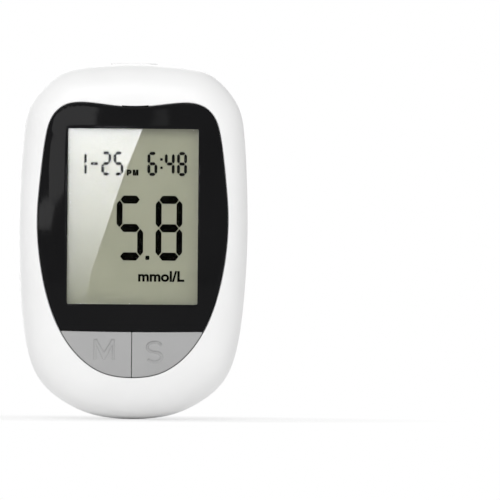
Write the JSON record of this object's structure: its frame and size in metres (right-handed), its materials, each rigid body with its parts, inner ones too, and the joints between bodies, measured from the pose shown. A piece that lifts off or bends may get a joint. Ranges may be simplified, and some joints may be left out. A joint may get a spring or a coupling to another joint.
{
  "type": "blood glucose meter",
  "caption": "Pebble-shaped handheld blood glucose meter with a shield-shaped display panel, lower keys, a battery door and a sliding strip ejector on the back.",
  "frame": {"origin": "on the flat of the back, on the centre line, between the battery door and the label, 44.2 mm above the bottom end", "axes": "+Z along the meter towards the strip port, +Y out of the back, +X to the right as the display is read; the display faces -Y"},
  "size_m": [0.0618, 0.0204, 0.0965],
  "materials": {
    "shell_white": "satin",
    "bezel_black": "gloss",
    "window_clear": "clear gloss",
    "button_grey": "satin",
    "slider_grey": "satin",
    "lcd_glass": "semi gloss",
    "inner_white": "matte",
    "inner_black": "matte",
    "contact_rubber": "matte",
    "board_green": "semi gloss",
    "bright_steel": "plated",
    "contact_gold": "plated",
    "label_silver": "satin foil"
  },
  "bodies": {
    "casing": {"front_shell": "shell_white", "rear_shell": "shell_white", "display_bezel": "bezel_black", "display_window": "window_clear", "lcd_cell": "lcd_glass", "lcd_holder": "inner_white", "zebra_connector": "contact_rubber", "memory_switch": "inner_black", "set_switch": "inner_black", "circuit_board": "board_green", "main_chip": "inner_black", "buzzer": "inner_black", "coin_cell": "bright_steel", "battery_contact_negative": "bright_steel", "battery_contact_positive": "bright_steel", "ejector_spring": "bright_steel", "strip_port": "shell_white", "strip_connector": "inner_black", "strip_contact_1": "contact_gold", "strip_contact_2": "contact_gold", "strip_contact_3": "contact_gold", "strip_contact_4": "contact_gold", "strip_contact_5": "contact_gold", "case_screw_1": "bright_steel", "case_screw_2": "bright_steel", "case_screw_3": "bright_steel", "case_screw_4": "bright_steel", "rear_label": "label_silver"},
    "memory_key": {"memory_button": "button_grey", "memory_switch_stem": "inner_black"},
    "set_key": {"set_button": "button_grey", "set_switch_stem": "inner_black"},
    "ejector": {"ejector_slider": "slider_grey", "ejector_carriage": "inner_black"},
    "door": {"battery_door": "shell_white"}
  },
  "joints": [
    {"name": "memory_press", "type": "slide", "parent": "casing", "child": "memory_key", "axis": [0, 1, 0], "range_m": [0, 0.0005], "stiffness_N_per_m": 900},
    {"name": "set_press", "type": "slide", "parent": "casing", "child": "set_key", "axis": [0, 1, 0], "range_m": [0, 0.0005], "stiffness_N_per_m": 900},
    {"name": "ejector_slide", "type": "slide", "parent": "casing", "child": "ejector", "axis": [0, 0, 1], "range_m": [0, 0.005], "stiffness_N_per_m": 120, "deforming": ["ejector_spring"]},
    {"name": "door_hinge", "type": "hinge", "parent": "casing", "child": "door", "pos_m": [-0.0187, 0, 0.0127], "axis": [0, 0, 1], "range_deg": [0, 70]}
  ]
}
